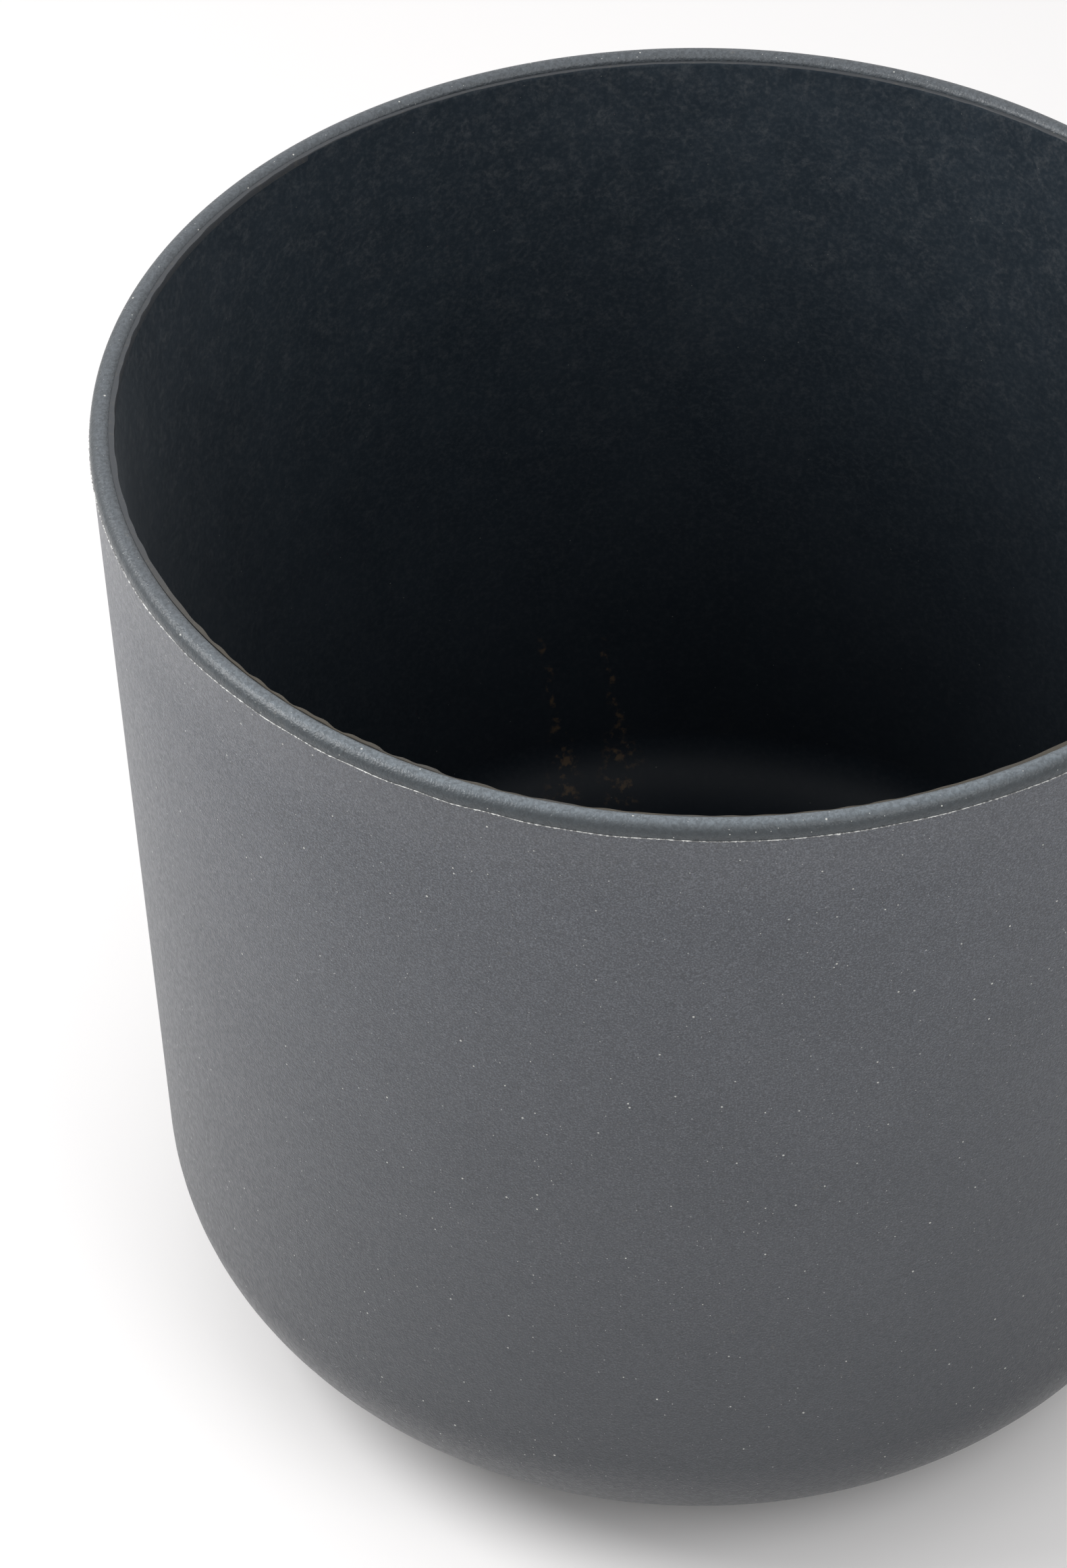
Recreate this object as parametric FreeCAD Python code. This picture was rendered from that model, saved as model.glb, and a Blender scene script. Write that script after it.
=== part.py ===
"""Self-watering planter, millimetres, +Z up, origin at the centre of the base on the ground plane.

A round outer pot with a bead rim and a soft bowl-shaped base holds the water. An inner pot for the soil
fits inside it. A round platform closes its floor and carries four perforated wicking wells, which stand
on the outer pot's floor in the water. On the +X side a fill tube with a hinged flap leads to the
reservoir, next to a float gauge under a clear cap. One bracket holds both tubes to the inner pot's wall.
A rubber plug closes the drain hole in the base.
"""

import FreeCAD
import Part
import math
import os

from FreeCAD import Vector

# Outer pot: driving dimensions.
RIM_RADIUS = 147.5
HEIGHT = 277.0
DRAFT = math.tan(math.radians(2.32))
BEAD_HEIGHT = 3.8
BEAD_ROUND_RUN = 2.6
BEAD_ROUND_RISE = 3.0
BEAD_STEP = 0.3
FOOT_RADIUS = 71.3
CORNER_RUN = 67.1
CORNER_RISE = 53.5
POT_WALL = 3.0
POT_FLOOR_TOP = 4.5
BASE_RECESS = 1.5
FOOT_RING_WIDTH = 7.0
MOUTH_RADIUS = 142.6
MOUTH_DEPTH = 35.0
LIP_ROUND_RUN = 2.0
LIP_ROUND_RISE = 1.5

# Drain in the middle of the base.
DRAIN_RADIUS = 8.0
DIMPLE_RADIUS = 20.0
DIMPLE_TOP = 5.0
PLUG_GAP = 0.3
PLUG_FLANGE_RADIUS = 14.0
PLUG_FLANGE_BOTTOM = 2.2
PLUG_TOP = 9.4

# Inner pot.
LINER_TOP = HEIGHT - 1.6
LINER_RADIUS = MOUTH_RADIUS - 0.35
LINER_WALL = 1.8
LINER_EDGE = 0.85
LINER_EDGE_DEPTH = 12.0
FLOOR_TOP = 38.0
FLOOR_THICKNESS = 2.0
FLOOR_RADIUS = 112.0
FLOOR_ROUND_RISE = 16.0
FLOOR_BOTTOM = FLOOR_TOP - FLOOR_THICKNESS

# Platform with the wells, dropped into a round seat in the inner pot's floor.
SEAT_RADIUS = 92.0
SEAT_GAP = 0.3
LEDGE_RADIUS = 86.0
LEDGE_THICKNESS = 2.0
RIB_DEPTH = 3.0
RIB_THICKNESS = 2.0
RIB_RING_RADIUS = 82.0
RIB_HUB_RADIUS = 22.0
VENT_RADIUS = 3.0
VENT_CIRCLE = 66.0

# Wicking wells.
WELL_COUNT = 4
WELL_CIRCLE = 52.0
WELL_FLANGE_RADIUS = 26.5
WELL_FLANGE = 1.5
WELL_TOP_RADIUS = 22.2
WELL_FOOT_RADIUS = 19.0
WELL_WALL = 1.6
WELL_FLOOR = 1.8
WELL_SLOTS = 6
WELL_SLOT_WIDTH = 3.0

# Float gauge, a vertical tube near the +X wall.
GAUGE_X, GAUGE_Y = 106.0, 15.5
GAUGE_RADIUS = 10.0
GAUGE_WALL = 1.4
GAUGE_BOTTOM = 22.0
GAUGE_TOP = 236.0
FLOAT_RADIUS = 7.8
FLOAT_BOTTOM = 25.5
FLOAT_HEIGHT = 16.0
STEM_RADIUS = 1.0
STEM_GUIDE_GAP = 0.4
MARKER_RADIUS = 4.5
MARKER_BOTTOM = 238.0
MARKER_HEIGHT = 7.0
CAP_TOP = 269.0
CAP_DOME_RADIUS = 8.2
CAP_WALL = 1.4
CAP_GAP = 0.3

# Fill tube with its funnel and flap, beside the gauge.
FILL_X, FILL_Y = 110.0, -17.5
FILL_RADIUS = 12.0
FILL_WALL = 1.4
FILL_BOTTOM = 34.0
FILL_TOP = 248.0
FUNNEL_TOP = 262.0
FUNNEL_RADIUS = 17.0
FLAP_THICKNESS = 1.8
FLAP_LIFT = 0.3
HINGE_X = FILL_X + FUNNEL_RADIUS + 3.2
HINGE_Z = FUNNEL_TOP + 1.2
HINGE_PIN_RADIUS = 1.2
KNUCKLE_RADIUS = 2.6
HINGE_GAP = 0.05
KNUCKLE_HALF = 6.0
EAR_INNER = 6.3
EAR_OUTER = 9.3

# Collars on the inner pot's floor, their rubber grommets, and the bracket on its wall.
COLLAR_HEIGHT = 8.0
COLLAR_WALL = 2.0
GROMMET_THICKNESS = 1.5
TUBE_GAP = 0.12
BRACKET_BOTTOM = 218.0
BRACKET_THICKNESS = 4.0
BRACKET_RING = 3.0
BRACKET_PEG_RADIUS = 2.0
BRACKET_PEG_ANGLE = 5.0
BRACKET_BACK = 5.0
BRACKET_SIDE = 5.0

UP = Vector(0, 0, 1)
CENTRE = Vector(0, 0, 0)


# ---------------------------------------------------------------- outlines and simple solids


class Outline:
    """A closed outline in the XZ plane, built one edge at a time, then turned about Z."""

    def __init__(self, r, z):
        self.start = self.at = Vector(r, 0, z)
        self.edges = []

    def line(self, r, z):
        """Runs straight to (r, z)."""
        end = Vector(r, 0, z)
        self.edges.append(Part.LineSegment(self.at, end).toShape())
        self.at = end
        return self

    def arc(self, through_r, through_z, r, z):
        """Runs along a circular arc through one point to (r, z)."""
        end = Vector(r, 0, z)
        self.edges.append(Part.Arc(self.at, Vector(through_r, 0, through_z), end).toShape())
        self.at = end
        return self

    def edge(self, shape, r, z):
        """Adds a ready-made edge that starts here and ends at (r, z)."""
        self.edges.append(shape)
        self.at = Vector(r, 0, z)
        return self

    def turned(self, angle=360):
        """The solid of revolution about Z."""
        if self.at.distanceToPoint(self.start) > 1e-9:
            self.line(self.start.x, self.start.z)
        face = Part.Face(Part.Wire(self.edges))
        return face.revolve(CENTRE, UP, angle)


def corner(centre_r, centre_z, run, rise, slope):
    """A quarter ellipse from a wall of that slope down to the floor: (edge, its top point, its foot)."""
    start = math.atan(slope * rise / run)
    centre = Vector(centre_r, 0, centre_z)
    ellipse = Part.Ellipse(centre + Vector(run, 0, 0), centre - Vector(0, 0, rise), centre)
    edge = Part.ArcOfEllipse(ellipse, start, math.pi / 2).toShape()
    top = (centre_r + run * math.cos(start), centre_z - rise * math.sin(start))
    return edge, top, (centre_r, centre_z - rise)


def cylinder(radius, bottom, top, x=0.0, y=0.0):
    return Part.makeCylinder(radius, top - bottom, Vector(x, y, bottom))


def tube(outer, inner, bottom, top, x=0.0, y=0.0):
    return cylinder(outer, bottom, top, x, y).cut(cylinder(inner, bottom - 1, top + 1, x, y))


def block(x0, x1, y0, y1, z0, z1):
    return Part.makeBox(x1 - x0, y1 - y0, z1 - z0, Vector(x0, y0, z0))


def moved(shape, x, y):
    shape.translate(Vector(x, y, 0))
    return shape


def spun(shape, degrees, x=0.0, y=0.0):
    """A copy turned about a vertical axis at (x, y)."""
    copy = shape.copy()
    copy.rotate(Vector(x, y, 0), UP, degrees)
    return copy


def level_edges(shape, z):
    """The shape's flat edges at that height."""
    return [e for e in shape.Edges if e.BoundBox.ZLength < 1e-6 and abs(e.BoundBox.ZMin - z) < 1e-6]


def ring_of(shape, count, first=0.0):
    """That shape repeated evenly about Z."""
    return [spun(shape, first + 360.0 * k / count) for k in range(count)]


def well_centres():
    """The wells' centres, on the diagonals."""
    for k in range(WELL_COUNT):
        angle = math.radians(45 + 360 * k / WELL_COUNT)
        yield WELL_CIRCLE * math.cos(angle), WELL_CIRCLE * math.sin(angle)


# ---------------------------------------------------------------- outer pot and drain


def outer_pot():
    """The shell: bead rim, tapered wall, bowl-shaped corner, foot ring and a dimple for the drain plug."""
    bead_bottom = HEIGHT - BEAD_HEIGHT
    outer_edge, (outer_r, outer_z), (foot_r, _) = corner(
        FOOT_RADIUS, CORNER_RISE, CORNER_RUN, CORNER_RISE, DRAFT
    )
    wall_top_z = bead_bottom - BEAD_STEP
    wall_top_r = outer_r + DRAFT * (wall_top_z - outer_z)
    mouth_bottom = HEIGHT - MOUTH_DEPTH
    inner_run = CORNER_RUN - POT_WALL
    inner_slope = (MOUTH_RADIUS - FOOT_RADIUS - inner_run) / (mouth_bottom - CORNER_RISE)
    inner_edge, (inner_r, inner_z), (inner_foot_r, inner_foot_z) = corner(
        FOOT_RADIUS, CORNER_RISE, inner_run, CORNER_RISE - POT_FLOOR_TOP, inner_slope
    )
    round_start = HEIGHT - BEAD_ROUND_RISE
    quarter = math.sqrt(0.5)
    shell = Outline(0, BASE_RECESS).line(foot_r - FOOT_RING_WIDTH, BASE_RECESS)
    shell.line(foot_r - FOOT_RING_WIDTH + BASE_RECESS, 0).line(foot_r, 0)
    shell.edge(outer_edge, outer_r, outer_z).line(wall_top_r, wall_top_z)
    shell.line(RIM_RADIUS, bead_bottom).line(RIM_RADIUS, round_start)
    shell.arc(
        RIM_RADIUS - BEAD_ROUND_RUN * (1 - quarter),
        round_start + BEAD_ROUND_RISE * quarter,
        RIM_RADIUS - BEAD_ROUND_RUN,
        HEIGHT,
    )
    shell.line(MOUTH_RADIUS + LIP_ROUND_RUN, HEIGHT)
    shell.arc(
        MOUTH_RADIUS + LIP_ROUND_RUN * (1 - quarter),
        HEIGHT - LIP_ROUND_RISE * (1 - quarter),
        MOUTH_RADIUS,
        HEIGHT - LIP_ROUND_RISE,
    )
    shell.line(MOUTH_RADIUS, mouth_bottom).line(inner_r, inner_z)
    shell.edge(inner_edge, inner_foot_r, inner_foot_z).line(0, POT_FLOOR_TOP)
    pot = shell.turned()
    boss_top = DIMPLE_TOP + POT_WALL
    boss = cylinder(DIMPLE_RADIUS + POT_WALL, BASE_RECESS, boss_top)
    pot = pot.fuse(boss.makeFillet(1.5, level_edges(boss, boss_top)))
    pot = pot.cut(cylinder(DIMPLE_RADIUS, -1, DIMPLE_TOP))
    return pot.cut(cylinder(DRAIN_RADIUS, -1, boss_top + 1))


def drain_plug():
    """A rubber bung pushed up into the drain hole, with a flange and a pull tab."""
    shank_radius = DRAIN_RADIUS - PLUG_GAP
    plug = Outline(0, PLUG_FLANGE_BOTTOM).line(PLUG_FLANGE_RADIUS - 0.8, PLUG_FLANGE_BOTTOM)
    plug.line(PLUG_FLANGE_RADIUS, PLUG_FLANGE_BOTTOM + 0.8).line(PLUG_FLANGE_RADIUS, DIMPLE_TOP)
    plug.line(shank_radius, DIMPLE_TOP).line(shank_radius, DIMPLE_TOP + POT_WALL)
    plug.line(shank_radius - 1.2, PLUG_TOP).line(0, PLUG_TOP)
    tab_width, tab_thickness, tab_bottom = 12.0, 2.4, 0.6
    half, side = tab_width / 2, tab_thickness / 2
    tab = block(-half, half, -side, side, tab_bottom, PLUG_FLANGE_BOTTOM + 0.4)
    return plug.turned().fuse(tab)


# ---------------------------------------------------------------- inner pot, platform and wells


def liner_outer_radius(z):
    return LINER_RADIUS - DRAFT * (LINER_TOP - z)


def liner_inner_radius(z):
    return liner_outer_radius(z) - LINER_WALL


def inner_pot():
    """The soil pot: thin tapered wall, rounded corner, and a floor with a round seat and two collars."""
    outer_z = FLOOR_TOP + FLOOR_ROUND_RISE
    outer_run = liner_outer_radius(outer_z) - FLOOR_RADIUS
    rise = FLOOR_ROUND_RISE + FLOOR_THICKNESS
    outer_edge, (outer_r, outer_top), _ = corner(FLOOR_RADIUS, outer_z, outer_run, rise, DRAFT)
    inner_edge, (inner_r, inner_top), _ = corner(
        FLOOR_RADIUS, outer_z, outer_run - LINER_WALL, FLOOR_ROUND_RISE, DRAFT
    )
    thin_z = LINER_TOP - LINER_EDGE_DEPTH
    ledge_bottom = FLOOR_BOTTOM - LEDGE_THICKNESS
    shell = Outline(LEDGE_RADIUS, ledge_bottom).line(SEAT_RADIUS + LEDGE_THICKNESS, ledge_bottom)
    shell.line(SEAT_RADIUS + LEDGE_THICKNESS, FLOOR_BOTTOM).line(FLOOR_RADIUS, FLOOR_BOTTOM)
    shell.edge(outer_edge, outer_r, outer_top).line(LINER_RADIUS, LINER_TOP)
    shell.line(LINER_RADIUS - LINER_EDGE, LINER_TOP).line(liner_inner_radius(thin_z), thin_z)
    shell.line(inner_r, inner_top).edge(inner_edge, FLOOR_RADIUS, FLOOR_TOP)
    shell.line(SEAT_RADIUS, FLOOR_TOP).line(SEAT_RADIUS, FLOOR_BOTTOM).line(LEDGE_RADIUS, FLOOR_BOTTOM)
    pot = shell.turned().fuse(floor_collars())
    holes = [
        cylinder(GAUGE_RADIUS + TUBE_GAP, 0, HEIGHT, GAUGE_X, GAUGE_Y),
        cylinder(FILL_RADIUS + TUBE_GAP, 0, HEIGHT, FILL_X, FILL_Y),
    ]
    return pot.cut(holes + bracket_pegs(BRACKET_PEG_RADIUS + 0.15, 6.0))


def soil_platform():
    """The round plate that drops into the seat, open for the wells, with vents and ribs underneath."""
    rib_bottom = FLOOR_BOTTOM - RIB_DEPTH
    half = RIB_THICKNESS / 2
    plate = cylinder(SEAT_RADIUS - SEAT_GAP, FLOOR_BOTTOM, FLOOR_TOP)
    ribs = [
        tube(radius + half, radius - half, rib_bottom, FLOOR_BOTTOM)
        for radius in (RIB_RING_RADIUS, RIB_HUB_RADIUS)
    ]
    ribs += ring_of(block(RIB_HUB_RADIUS, RIB_RING_RADIUS, -half, half, rib_bottom, FLOOR_BOTTOM), 4)
    holes = [cylinder(WELL_TOP_RADIUS + 0.3, 0, FLOOR_TOP + 1, x, y) for x, y in well_centres()]
    vent = cylinder(VENT_RADIUS, FLOOR_BOTTOM - 1, FLOOR_TOP + 1, VENT_CIRCLE)
    holes += ring_of(vent, 4, 8) + ring_of(vent, 4, -8)
    return plate.fuse(ribs).cut(holes)


def floor_collars():
    """Upstands round the two tube holes."""
    top = FLOOR_TOP + COLLAR_HEIGHT
    gauge = cylinder(GAUGE_RADIUS + TUBE_GAP + COLLAR_WALL, FLOOR_BOTTOM, top, GAUGE_X, GAUGE_Y)
    fill = cylinder(FILL_RADIUS + TUBE_GAP + COLLAR_WALL, FLOOR_BOTTOM, top, FILL_X, FILL_Y)
    return [gauge, fill]


def wicking_well(x, y):
    """A perforated cup that drops through the platform and stands on the outer pot's floor."""
    flange_top = FLOOR_TOP + WELL_FLANGE
    inner_top = WELL_TOP_RADIUS - WELL_WALL
    inner_foot = WELL_FOOT_RADIUS - WELL_WALL
    cup = Outline(0, POT_FLOOR_TOP).line(WELL_FOOT_RADIUS - 1.0, POT_FLOOR_TOP)
    cup.line(WELL_FOOT_RADIUS, POT_FLOOR_TOP + 1.0).line(WELL_TOP_RADIUS, FLOOR_TOP)
    cup.line(WELL_FLANGE_RADIUS, FLOOR_TOP).line(WELL_FLANGE_RADIUS - 0.6, flange_top)
    cup.line(inner_top, flange_top).line(inner_foot, POT_FLOOR_TOP + WELL_FLOOR)
    cup.line(0, POT_FLOOR_TOP + WELL_FLOOR)
    well = cup.turned()
    half = WELL_SLOT_WIDTH / 2
    slot = block(inner_foot - 3, WELL_TOP_RADIUS + 2, -half, half, 9.0, 29.0)
    drains = ring_of(cylinder(2.2, 0, POT_FLOOR_TOP + WELL_FLOOR + 1, 9.0), 6)
    well = well.cut(ring_of(slot, WELL_SLOTS) + drains + [cylinder(2.2, 0, POT_FLOOR_TOP + WELL_FLOOR + 1)])
    lug_reach = WELL_TOP_RADIUS + 1.4
    lug = block(WELL_TOP_RADIUS - 1.2, lug_reach, -3.0, 3.0, FLOOR_BOTTOM - 2.4, FLOOR_BOTTOM - 0.1)
    well = well.fuse(ring_of(lug, 3, 22.5))
    return moved(well, x, y)


# ---------------------------------------------------------------- float gauge


def gauge_tube():
    """The float's tube, with a shoulder that sits on its grommet and slots for the water."""
    shoulder_bottom = FLOOR_TOP + COLLAR_HEIGHT + GROMMET_THICKNESS
    wall = tube(GAUGE_RADIUS, GAUGE_RADIUS - GAUGE_WALL, GAUGE_BOTTOM, GAUGE_TOP)
    shoulder = tube(GAUGE_RADIUS + 2.6, GAUGE_RADIUS - 0.5, shoulder_bottom, shoulder_bottom + 2.0)
    slot = block(GAUGE_RADIUS - 4, GAUGE_RADIUS + 4, -1.5, 1.5, 26.0, 33.0)
    return moved(wall.fuse(shoulder).cut(ring_of(slot, 4, 45)), GAUGE_X, GAUGE_Y)


def gauge_strainer():
    """The perforated plug that closes the tube's foot and stops the float."""
    plate_bottom = GAUGE_BOTTOM - 1.5
    spigot_radius = GAUGE_RADIUS - GAUGE_WALL - 0.1
    plug = Outline(0, plate_bottom).line(GAUGE_RADIUS - 0.6, plate_bottom)
    plug.line(GAUGE_RADIUS, plate_bottom + 0.6).line(GAUGE_RADIUS, GAUGE_BOTTOM)
    plug.line(spigot_radius, GAUGE_BOTTOM)
    plug.line(spigot_radius, GAUGE_BOTTOM + 3.0).line(0, GAUGE_BOTTOM + 3.0)
    holes = ring_of(cylinder(1.3, 0, FLOAT_BOTTOM, 5.2), 6) + [cylinder(1.3, 0, FLOAT_BOTTOM)]
    return moved(plug.turned().cut(holes), GAUGE_X, GAUGE_Y)


def gauge_float():
    """The float, with rounded ends and a blind bore for the stem."""
    top = FLOAT_BOTTOM + FLOAT_HEIGHT
    body = cylinder(FLOAT_RADIUS, FLOAT_BOTTOM, top)
    body = body.makeFillet(2.0, level_edges(body, FLOAT_BOTTOM) + level_edges(body, top))
    bore = cylinder(STEM_RADIUS, FLOAT_BOTTOM + 4.0, top + 1)
    return moved(body.cut(bore), GAUGE_X, GAUGE_Y)


def gauge_stem():
    """The thin rod from the float to the marker."""
    rod = cylinder(STEM_RADIUS, FLOAT_BOTTOM + 4.0, MARKER_BOTTOM + MARKER_HEIGHT - 2.0)
    return moved(rod, GAUGE_X, GAUGE_Y)


def gauge_marker():
    """The bright bead on the stem's end, seen through the cap."""
    top = MARKER_BOTTOM + MARKER_HEIGHT
    bead = cylinder(MARKER_RADIUS, MARKER_BOTTOM, top)
    bead = bead.makeFillet(1.2, level_edges(bead, MARKER_BOTTOM) + level_edges(bead, top))
    bore = cylinder(STEM_RADIUS, 0, top - 2.0)
    return moved(bead.cut(bore), GAUGE_X, GAUGE_Y)


def stem_guide():
    """The bush in the tube's mouth that keeps the stem upright."""
    spigot_radius = GAUGE_RADIUS - GAUGE_WALL - 0.1
    hole_radius = STEM_RADIUS + STEM_GUIDE_GAP
    bush = Outline(hole_radius, GAUGE_TOP - 8.0).line(spigot_radius - 0.5, GAUGE_TOP - 8.0)
    bush.line(spigot_radius, GAUGE_TOP - 7.5).line(spigot_radius, GAUGE_TOP)
    bush.line(GAUGE_RADIUS - 0.3, GAUGE_TOP).line(GAUGE_RADIUS - 0.3, GAUGE_TOP + 1.2)
    bush.line(hole_radius, GAUGE_TOP + 1.2)
    return moved(bush.turned(), GAUGE_X, GAUGE_Y)


def gauge_cap():
    """The clear cap: a skirt over the tube, a shoulder and a domed window."""
    skirt_inner = GAUGE_RADIUS + CAP_GAP
    skirt_outer = skirt_inner + CAP_WALL
    skirt_bottom = GAUGE_TOP - 9.0
    shoulder = GAUGE_TOP + 1.2
    window_inner = CAP_DOME_RADIUS - CAP_WALL
    dome_start = CAP_TOP - CAP_DOME_RADIUS
    quarter = math.sqrt(0.5)
    cap = Outline(skirt_inner, skirt_bottom).line(skirt_outer, skirt_bottom)
    cap.line(skirt_outer, shoulder).line(skirt_outer - 1.5, shoulder + 1.5)
    cap.line(CAP_DOME_RADIUS, shoulder + 1.5).line(CAP_DOME_RADIUS, dome_start)
    cap.arc(CAP_DOME_RADIUS * quarter, dome_start + CAP_DOME_RADIUS * quarter, 0, CAP_TOP)
    cap.line(0, dome_start + window_inner)
    cap.arc(window_inner * quarter, dome_start + window_inner * quarter, window_inner, dome_start)
    cap.line(window_inner, shoulder).line(skirt_inner, shoulder)
    return moved(cap.turned(), GAUGE_X, GAUGE_Y)


# ---------------------------------------------------------------- fill tube, funnel and flap


def fill_tube():
    """The tube that leads water past the soil, with a shoulder that sits on its grommet."""
    shoulder_bottom = FLOOR_TOP + COLLAR_HEIGHT + GROMMET_THICKNESS
    wall = tube(FILL_RADIUS, FILL_RADIUS - FILL_WALL, FILL_BOTTOM, FILL_TOP)
    shoulder = tube(FILL_RADIUS + 2.6, FILL_RADIUS - 0.5, shoulder_bottom, shoulder_bottom + 2.0)
    return moved(wall.fuse(shoulder), FILL_X, FILL_Y)


def fill_funnel():
    """The flared mouth pushed over the tube, with two hinge ears on its +X side."""
    socket_inner = FILL_RADIUS + 0.1
    socket_outer = socket_inner + 1.6
    bore = FILL_RADIUS - FILL_WALL
    socket_bottom = FILL_TOP - 12.0
    lip_inner = FUNNEL_RADIUS - 1.6
    mouth = Outline(socket_inner, socket_bottom).line(socket_outer, socket_bottom)
    mouth.line(socket_outer, FILL_TOP + 1.0).line(FUNNEL_RADIUS, FUNNEL_TOP - 3.0)
    mouth.line(FUNNEL_RADIUS, FUNNEL_TOP).line(lip_inner, FUNNEL_TOP).line(lip_inner, FUNNEL_TOP - 2.4)
    mouth.line(bore, FILL_TOP + 1.0).line(bore, FILL_TOP).line(socket_inner, FILL_TOP)
    funnel = moved(mouth.turned(), FILL_X, FILL_Y)
    hollow = cylinder(FUNNEL_RADIUS - 1.0, 0, HEIGHT, FILL_X, FILL_Y)
    ear_bottom = HINGE_Z - KNUCKLE_RADIUS
    for near, far in ((EAR_INNER, EAR_OUTER), (-EAR_OUTER, -EAR_INNER)):
        y0, y1 = FILL_Y + near, FILL_Y + far
        arm = block(FILL_X + 12.0, HINGE_X, y0, y1, ear_bottom - 2.0, FUNNEL_TOP)
        neck = block(HINGE_X - KNUCKLE_RADIUS, HINGE_X, y0, y1, ear_bottom, HINGE_Z)
        ear = arm.fuse([neck, hinge_cylinder(KNUCKLE_RADIUS, near, far)])
        funnel = funnel.fuse(ear.cut(hollow))
    return funnel.cut(hinge_cylinder(HINGE_PIN_RADIUS, -20, 20))


def hinge_cylinder(radius, y0, y1):
    """A cylinder on the flap's hinge axis, with y counted from the fill tube's centre."""
    return Part.makeCylinder(radius, y1 - y0, Vector(HINGE_X, FILL_Y + y0, HINGE_Z), Vector(0, 1, 0))


def fill_flap():
    """The round lid, with a knuckle between the ears and a lift tab on the far side."""
    bottom = FUNNEL_TOP + FLAP_LIFT
    top = bottom + FLAP_THICKNESS
    disc = cylinder(FUNNEL_RADIUS, bottom, top, FILL_X, FILL_Y)
    disc = disc.makeFillet(0.5, level_edges(disc, top))
    plug = tube(FUNNEL_RADIUS - 2.0, FUNNEL_RADIUS - 3.2, bottom - 1.5, bottom + 0.5, FILL_X, FILL_Y)
    knuckle = hinge_cylinder(KNUCKLE_RADIUS, -KNUCKLE_HALF, KNUCKLE_HALF)
    arm = block(FILL_X + 14.0, HINGE_X, FILL_Y - KNUCKLE_HALF, FILL_Y + KNUCKLE_HALF, bottom, top)
    edge_x = FILL_X - FUNNEL_RADIUS
    tab = block(edge_x - 2.0, edge_x + 4.0, FILL_Y - 5.0, FILL_Y + 5.0, bottom, top)
    tab = tab.makeFillet(1.6, [e for e in tab.Edges if e.BoundBox.ZLength > 1 and e.BoundBox.XMin < edge_x])
    flap = disc.fuse([plug, knuckle, arm, tab])
    return flap.cut(hinge_cylinder(HINGE_PIN_RADIUS + HINGE_GAP, -20, 20))


def flap_hinge_pin():
    """The steel pin held in the funnel's ears."""
    return hinge_cylinder(HINGE_PIN_RADIUS, -EAR_OUTER - 0.3, EAR_OUTER + 0.3)


# ---------------------------------------------------------------- grommets and bracket


def tube_grommets():
    """Two flat rubber rings between the collars and the tubes' shoulders."""
    bottom = FLOOR_TOP + COLLAR_HEIGHT
    top = bottom + GROMMET_THICKNESS
    rings = [
        tube(radius + 2.4, radius + 0.1, bottom, top, x, y)
        for radius, x, y in ((GAUGE_RADIUS, GAUGE_X, GAUGE_Y), (FILL_RADIUS, FILL_X, FILL_Y))
    ]
    return Part.makeCompound(rings)


def bracket_pegs(radius, length):
    """Two pegs that point outwards through the inner pot's wall."""
    middle = BRACKET_BOTTOM + BRACKET_THICKNESS / 2
    start = liner_inner_radius(middle) - 2.5
    peg = Part.makeCylinder(radius, length, Vector(start, 0, middle), Vector(1, 0, 0))
    return [spun(peg, angle) for angle in (-BRACKET_PEG_ANGLE, BRACKET_PEG_ANGLE)]


def tube_bracket():
    """A flat clip with a ring round each tube and a curved back against the inner pot's wall."""
    top = BRACKET_BOTTOM + BRACKET_THICKNESS
    back = liner_inner_radius(BRACKET_BOTTOM) - 0.15
    rings = [
        cylinder(radius + BRACKET_RING, BRACKET_BOTTOM, top, x, y)
        for radius, x, y in ((GAUGE_RADIUS, GAUGE_X, GAUGE_Y), (FILL_RADIUS, FILL_X, FILL_Y))
    ]
    web = block(GAUGE_X, back + 4, FILL_Y, GAUGE_Y, BRACKET_BOTTOM, top)
    plate = web.fuse(rings).common(cylinder(back, BRACKET_BOTTOM - 1, top + 1))
    window_y = (FILL_Y + BRACKET_SIDE, GAUGE_Y - BRACKET_SIDE)
    window = block(GAUGE_X, back - BRACKET_BACK, *window_y, BRACKET_BOTTOM - 1, top + 1).cut(rings)
    holes = [
        cylinder(radius + TUBE_GAP, 0, HEIGHT, x, y)
        for radius, x, y in ((GAUGE_RADIUS, GAUGE_X, GAUGE_Y), (FILL_RADIUS, FILL_X, FILL_Y))
    ]
    return plate.cut(holes + [window]).fuse(bracket_pegs(BRACKET_PEG_RADIUS, 4.9))


# ---------------------------------------------------------------- all nodes


def nodes():
    made = {
        "outer_pot": outer_pot(),
        "drain_plug": drain_plug(),
        "inner_pot": inner_pot(),
        "soil_platform": soil_platform(),
        "gauge_tube": gauge_tube(),
        "gauge_strainer": gauge_strainer(),
        "gauge_float": gauge_float(),
        "gauge_stem": gauge_stem(),
        "gauge_marker": gauge_marker(),
        "stem_guide": stem_guide(),
        "gauge_cap": gauge_cap(),
        "fill_tube": fill_tube(),
        "fill_funnel": fill_funnel(),
        "fill_flap": fill_flap(),
        "flap_hinge_pin": flap_hinge_pin(),
        "tube_grommets": tube_grommets(),
        "tube_bracket": tube_bracket(),
    }
    for number, (x, y) in enumerate(well_centres(), start=1):
        made[f"wicking_well_{number}"] = wicking_well(x, y)
    return made


def main():
    os.makedirs("parts", exist_ok=True)
    for name, shape in nodes().items():
        clean = shape.removeSplitter()
        clean.exportStep(f"parts/{name}.step")
        volume = clean.Volume / 1000
        print(f"{name}: {len(clean.Solids)} solid(s), valid {clean.isValid()}, {volume:.2f} cm3")


main()
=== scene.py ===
"""Self watering planter: the looks, in metres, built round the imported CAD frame."""

import bmesh
import bpy
import math
import numpy as np
from mathutils import Matrix, Vector


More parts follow.
